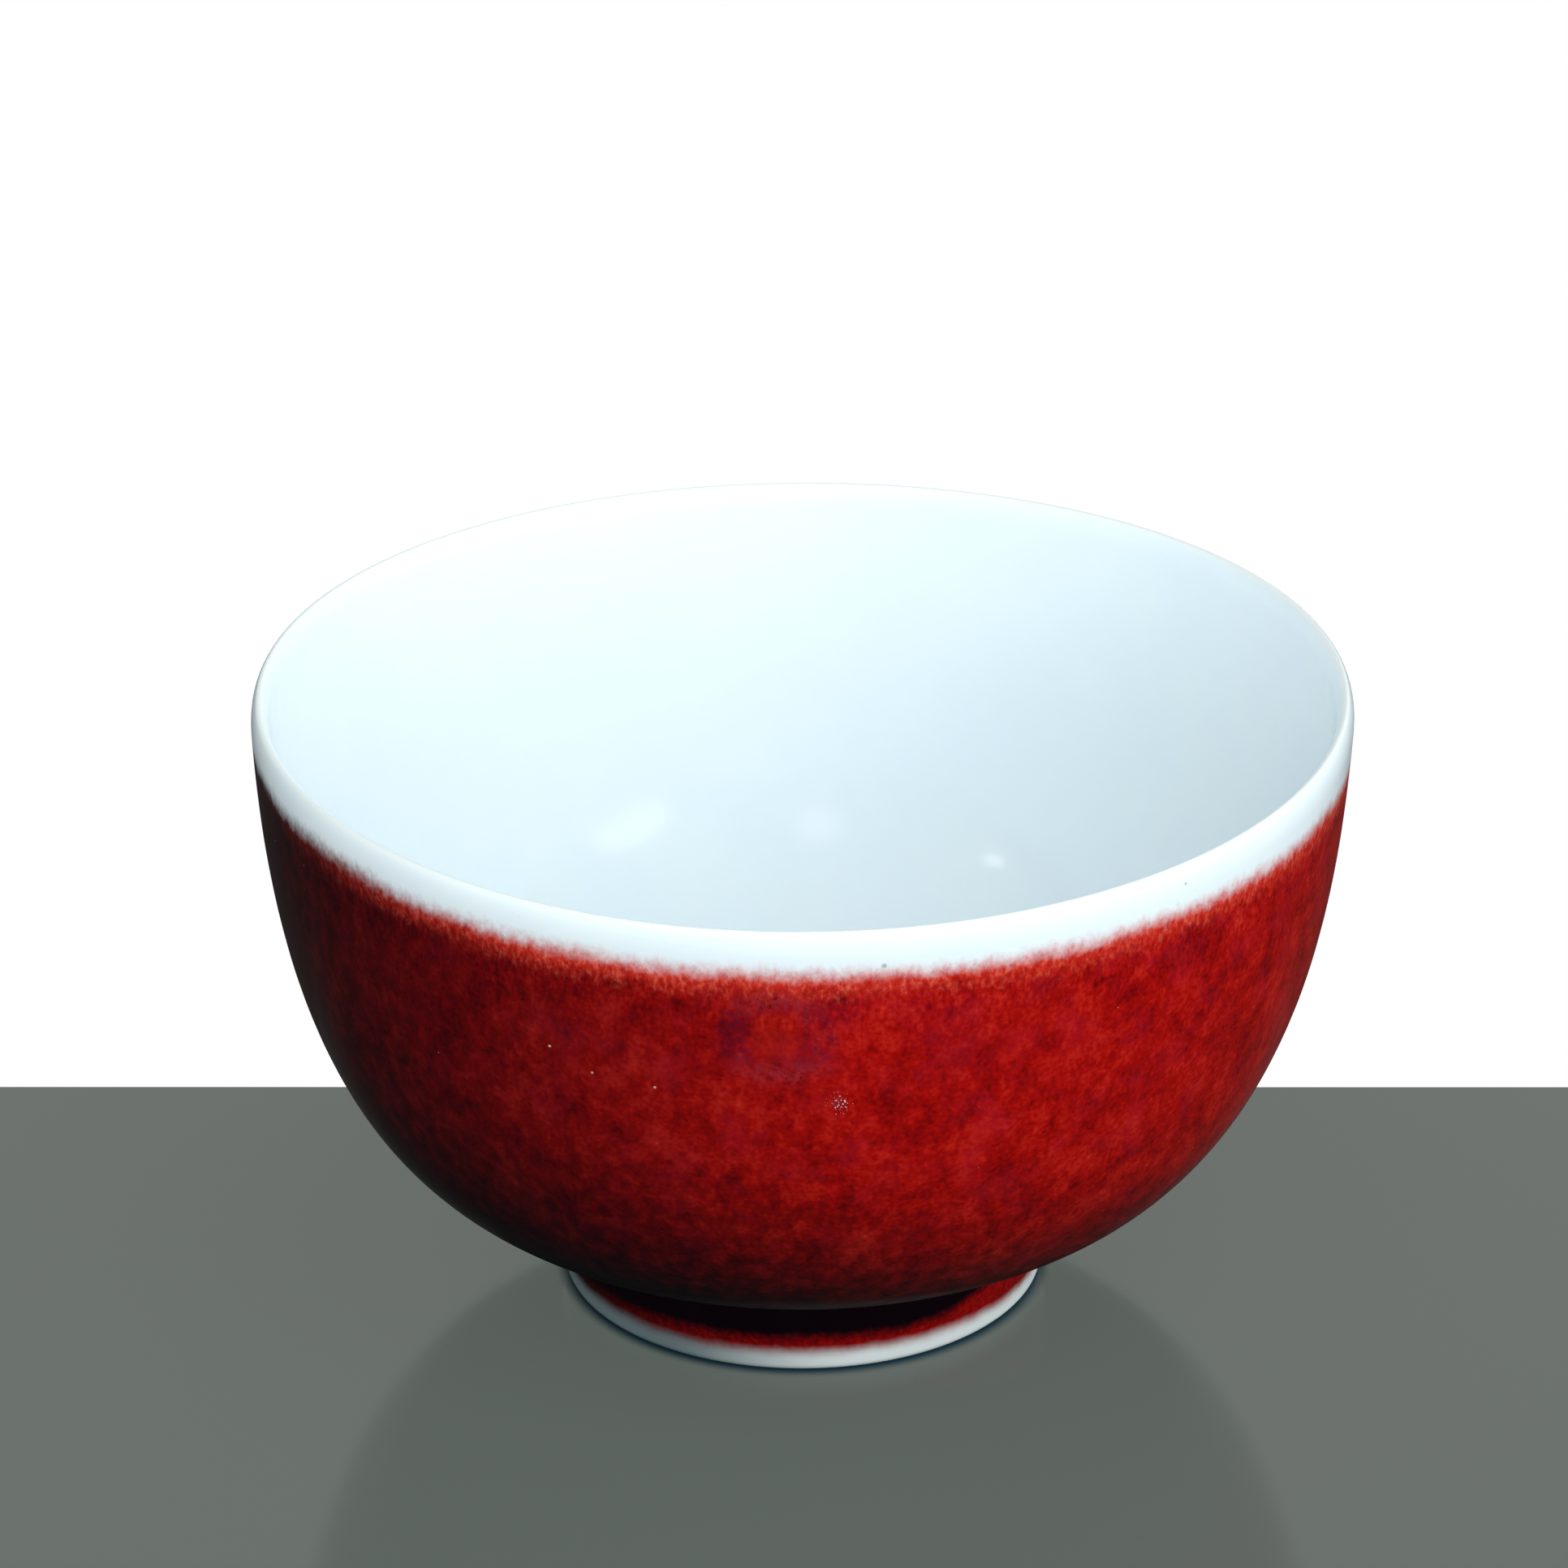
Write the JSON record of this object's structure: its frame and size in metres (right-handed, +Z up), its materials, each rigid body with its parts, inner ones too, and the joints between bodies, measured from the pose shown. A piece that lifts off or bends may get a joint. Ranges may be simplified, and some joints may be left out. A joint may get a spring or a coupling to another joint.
{
  "type": "footed bowl",
  "caption": "Deep round footed porcelain bowl, copper-red glaze outside below a white lip, bluish-white glaze inside, bare foot rim.",
  "frame": {"origin": "centre of the foot ring's resting plane", "axes": "+Z up along the bowl's axis of rotation, towards the mouth; X and Y in the resting plane"},
  "size_m": [0.125, 0.125, 0.073],
  "materials": {
    "porcelain_clay": "fired unglazed porcelain, fine matt",
    "red_glaze": "glossy mottled copper-red glaze",
    "lip_glaze": "glossy thin clear glaze over white clay",
    "clear_glaze": "glossy bluish-white clear glaze"
  },
  "bodies": {
    "root": {"bowl_body": "porcelain_clay", "foot_ring": "porcelain_clay", "red_glaze": "red_glaze", "foot_red_glaze": "red_glaze", "lip_glaze": "lip_glaze", "inner_glaze": "clear_glaze", "base_glaze": "clear_glaze"}
  },
  "joints": []
}
